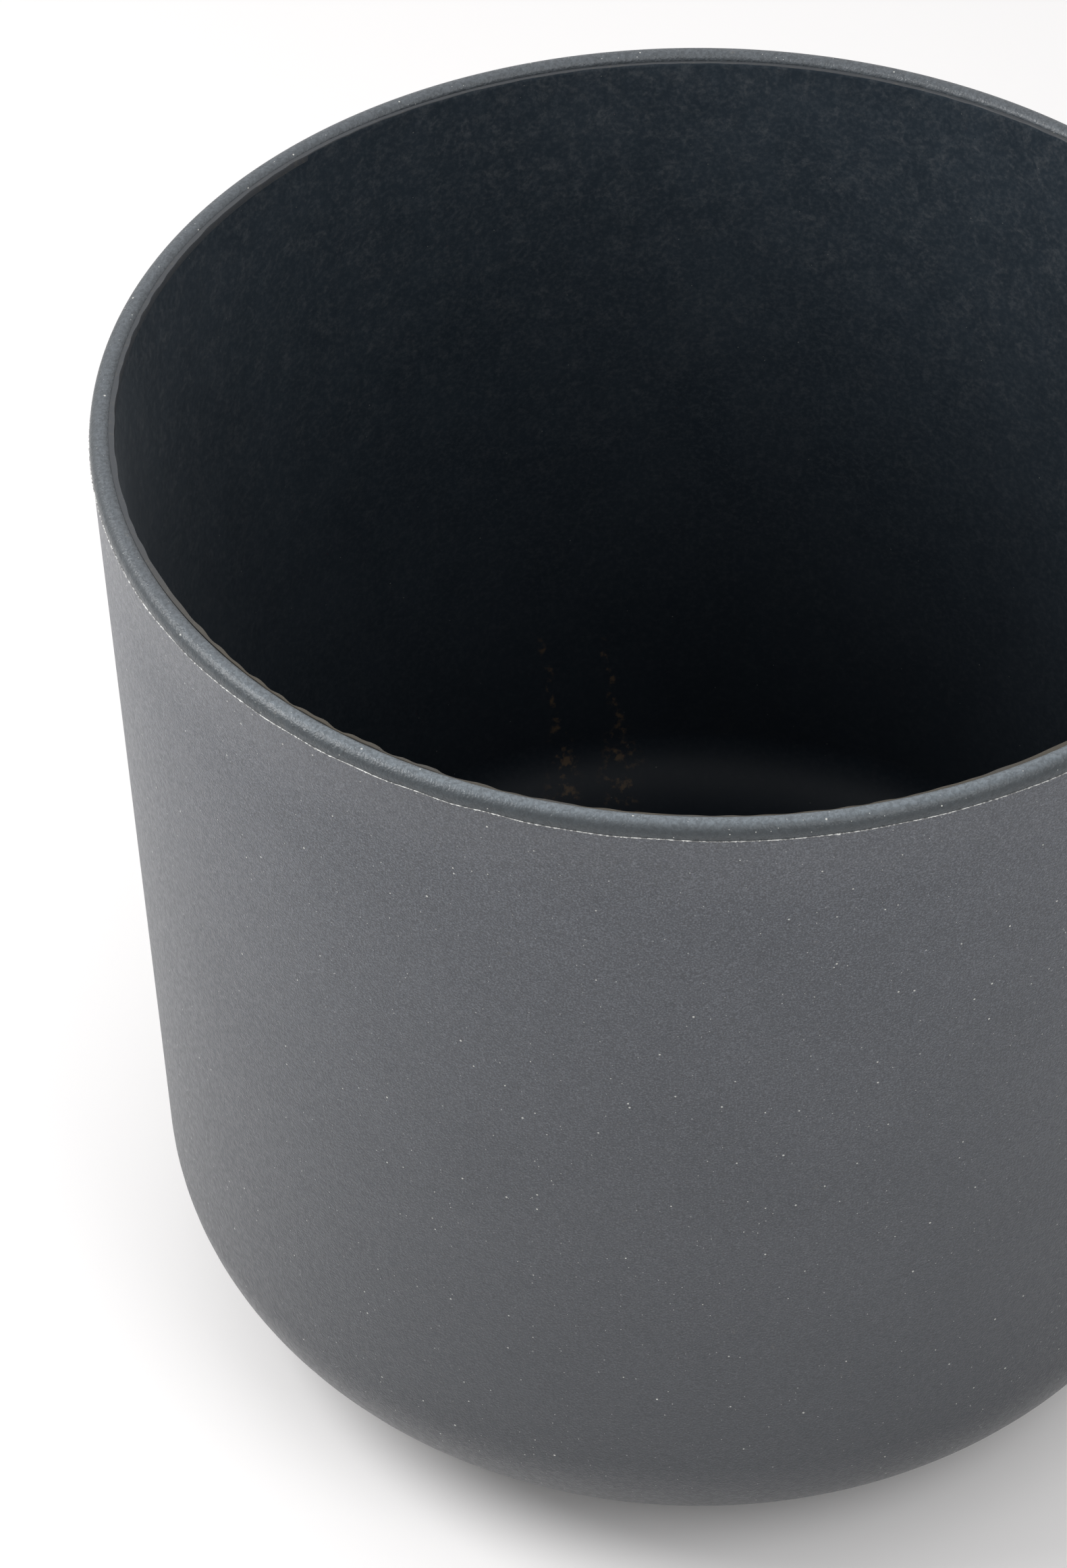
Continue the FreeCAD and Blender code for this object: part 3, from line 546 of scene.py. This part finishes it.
def liner_outline():
    """Closed outline of the inner pot: wall, corner, and a floor ring that ends in the platform's seat."""
    outer_z = FLOOR_TOP + FLOOR_ROUND
    outer_run = LINER_RADIUS - SLOPE * (LINER_TOP - outer_z) - FLOOR_RADIUS
    thin_z = LINER_TOP - LINER_EDGE_DEPTH
    outside = corner(FLOOR_RADIUS, outer_z, outer_run, FLOOR_ROUND + FLOOR_THICKNESS, 14)[::-1]
    inside = corner(FLOOR_RADIUS, outer_z, outer_run - LINER_WALL, FLOOR_ROUND, 18)
    thin = (LINER_RADIUS - SLOPE * (LINER_TOP - thin_z) - LINER_WALL, thin_z)
    top_inner = (LINER_RADIUS - LINER_EDGE, LINER_TOP)
    floor_bottom = FLOOR_TOP - FLOOR_THICKNESS
    ledge = SEAT_RADIUS + LEDGE_THICKNESS
    outline = [(LEDGE_RADIUS, floor_bottom - LEDGE_THICKNESS), (ledge, floor_bottom - LEDGE_THICKNESS)]
    outline += [(ledge, floor_bottom)]
    outline += outside
    outline += straight(outside[-1], (LINER_RADIUS, LINER_TOP), 6)
    outline += [(LINER_RADIUS, LINER_TOP - 0.15 * MM), (LINER_RADIUS - 0.12 * MM, LINER_TOP)]
    outline += [(top_inner[0] + 0.15 * MM, LINER_TOP), (top_inner[0], LINER_TOP - 0.18 * MM)]
    outline += [(top_inner[0] - 0.05 * MM, LINER_TOP - 1.2 * MM), thin]
    outline += straight(thin, inside[0], 8)
    outline += inside
    outline += [(SEAT_RADIUS + 0.3 * MM, FLOOR_TOP), (SEAT_RADIUS, FLOOR_TOP - 0.3 * MM)]
    outline += [(SEAT_RADIUS, floor_bottom), (LEDGE_RADIUS, floor_bottom)]
    return outline


def hump(angles, centre, width):
    """A smooth bump of height 1 at that bearing; centre and width in degrees."""
    apart = np.angle(np.exp(1j * (angles - math.radians(centre))))
    return np.exp(-(apart / math.radians(width)) ** 2)


def lip_radius(height):
    """The rounded lip's inner radius at a height."""
    rise = np.clip((height - (HEIGHT - LIP_ROUND[1])) / LIP_ROUND[1], 0.0, 1.0)
    return MOUTH_RADIUS + LIP_ROUND[0] * (1.0 - np.sqrt(1.0 - rise ** 2))


def open_seam(angles):
    """How far the seam beside the rim stands open: along the far side and at the near left."""
    return np.clip(0.75 * hump(angles, *FAR_SEAM) + 1.4 * hump(angles, *NEAR_SEAM), 0.0, 1.0)


def wavy_edge(angles, radius, height):
    """Lets the thin top edge sit snug by the rim or fall away from it, with small trimmed bumps."""
    near_top = max(0.0, 1.0 - (LINER_TOP - height) / (1.5 * MM))
    if near_top == 0.0:
        return radius, height
    snug = 1.0 - open_seam(angles)
    sideways = np.clip((np.abs(np.cos(angles)) - 0.35) / 0.4, 0.0, 1.0)
    slow = ripple(angles, 12, 8, 3, 14)
    stray = hump(angles, *NEAR_SEAM)
    bumps = np.clip(ripple(angles, 11, 24, 50, 130), -1.5, 1.5)
    height = height + near_top * (0.05 * slow + 0.9 * snug * sideways + (0.42 + 0.12 * bumps) * stray) * MM
    if radius > LINER_RADIUS - 0.2 * MM:
        return radius + near_top * snug * (lip_radius(height) - 0.04 * MM - radius), height
    return radius - near_top * ((0.09 + 0.10 * stray) * bumps + 0.06 * slow) * MM, height


def add_cutter(circles):
    """One mesh of upright round bars, used to open the floor and then removed."""
    bm = bmesh.new()
    for x, y, radius in circles:
        place = Matrix.Translation((x, y, FLOOR_TOP))
        bmesh.ops.create_cone(
            bm, cap_ends=True, segments=64, radius1=radius, radius2=radius, depth=30 * MM, matrix=place
        )
    mesh = bpy.data.meshes.new("cutter")
    bm.to_mesh(mesh)
    bm.free()
    cutter = bpy.data.objects.new("cutter", mesh)
    bpy.context.scene.collection.objects.link(cutter)
    return cutter


def cut_through(piece, circles):
    """Opens round holes in the piece with a Boolean modifier, applied."""
    cutter = add_cutter(circles)
    modifier = piece.modifiers.new("holes", "BOOLEAN")
    modifier.operation = "DIFFERENCE"
    modifier.solver = "EXACT"
    modifier.object = cutter
    graph = bpy.context.evaluated_depsgraph_get()
    cut = bpy.data.meshes.new_from_object(piece.evaluated_get(graph))
    piece.modifiers.clear()
    piece.data = cut
    bpy.data.objects.remove(cutter)


def tube_place(node):
    """A tube's centre and outer radius, from the frame; its shoulder is wider than the tube."""
    low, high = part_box(node)
    return (low.x + high.x) / 2, (low.y + high.y) / 2, (high.x - low.x) / 2 - TUBE_SHOULDER


def add_collars(material):
    """The upstands round the two tubes, with softly rounded tops."""
    for node in ("gauge_tube", "fill_tube"):
        x, y, radius = tube_place(node)
        inner, outer = radius + TUBE_GAP, radius + TUBE_GAP + COLLAR_WALL
        top = FLOOR_TOP + COLLAR_HEIGHT
        outline = [(inner, FLOOR_TOP - FLOOR_THICKNESS), (outer, FLOOR_TOP - FLOOR_THICKNESS)]
        outline += arc((outer + 0.8 * MM, FLOOR_TOP + 0.8 * MM), (0.8 * MM, 0.8 * MM), 270, 180, 5)
        outline += arc((outer - 0.4 * MM, top - 0.4 * MM), (0.4 * MM, 0.4 * MM), 0, 90, 4)
        outline += [(inner, top)]
        mesh = lathe_mesh(f"{node}_collar", outline, 96, (x, y))
        link(f"{node}_collar", mesh, material, "inner_pot")


def add_inner_pot(material, edge_material):
    mesh = lathe_mesh("inner_pot_shell", liner_outline(), SHELL_SEGMENTS, shape=wavy_edge)
    piece = link("inner_pot_shell", mesh, material, "inner_pot", ["inner_pot"])
    places = [tube_place(node) for node in ("gauge_tube", "fill_tube")]
    cut_through(piece, [(x, y, radius + TUBE_GAP) for x, y, radius in places])
    piece.data.materials.append(edge_material)
    for face in piece.data.polygons:
        if face.center.z > LINER_TOP - TRIMMED_BAND:
            face.material_index = 1


# ---------------------------------------------------------------- the stage


def add_floor():
    n = Nodes("studio_floor")
    tint = n.noise(0.8, detail=2.0)
    material = n.set(
        Base_Color=n.mix(tint, (0.915, 0.902, 0.900, 1), (0.925, 0.912, 0.910, 1)), Roughness=0.9, IOR=1.2
    )
    half = FLOOR_HALF
    mesh = bpy.data.meshes.new("studio_floor")
    corners = [(-half, -half, 0), (half, -half, 0), (half, half, 0), (-half, half, 0)]
    mesh.from_pydata(corners, [], [(0, 1, 2, 3)])
    floor = bpy.data.objects.new("studio_floor", mesh)
    bpy.context.scene.collection.objects.link(floor)
    mesh.materials.append(material)


def add_light(name, place, aim, watts):
    """A round softbox."""
    data = bpy.data.lights.new(name, "AREA")
    data.shape = "DISK"
    data.size = SOFTBOX
    data.energy = watts
    light = bpy.data.objects.new(name, data)
    bpy.context.scene.collection.objects.link(light)
    light.location = place
    light.rotation_mode = "QUATERNION"
    light.rotation_quaternion = (Vector(place) - Vector(aim)).to_track_quat("Z", "Y")


def add_world():
    world = bpy.data.worlds.new("studio")
    bpy.context.scene.world = world
    world.use_nodes = True
    background = world.node_tree.nodes["Background"]
    background.inputs["Color"].default_value = (1.0, 1.0, 1.0, 1.0)
    background.inputs["Strength"].default_value = WORLD_STRENGTH


# ---------------------------------------------------------------- the whole planter


def dress_cad_nodes():
    """Gives every carried-over CAD node its material."""
    fittings = moulded_black("fitting_plastic", 0.030, 0.38)
    wells = moulded_black("well_plastic", 0.024, 0.42)
    looks = {
        "drain_plug": rubber(),
        "tube_grommets": rubber(),
        "flap_hinge_pin": steel(),
        "gauge_float": float_foam(),
        "gauge_stem": float_foam(),
        "gauge_marker": marker_red(),
        "gauge_cap": clear_plastic(),
        "gauge_strainer": wells,
        "stem_guide": wells,
    }
    for name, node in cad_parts.items():
        material = wells if name.startswith("wicking_well") else looks.get(name, fittings)
        node.data.materials.clear()
        node.data.materials.append(material)
        node.data.shade_smooth()
        node.data.set_sharp_from_angle(angle=math.radians(35))


def main():
    dress_cad_nodes()
    plastic = outer_plastic()
    add_outer_pot(plastic)
    add_parting_flash(flash_plastic())
    smooth_plastic = inner_plastic()
    add_inner_pot(smooth_plastic, edge_plastic())
    add_collars(smooth_plastic)
    add_floor()
    add_world()
    add_light("key", KEY_PLACE, KEY_AIM, KEY_WATTS)
    add_light("fill", FILL_PLACE, FILL_AIM, FILL_WATTS)
    bpy.context.scene.view_settings.view_transform = "Standard"


main()
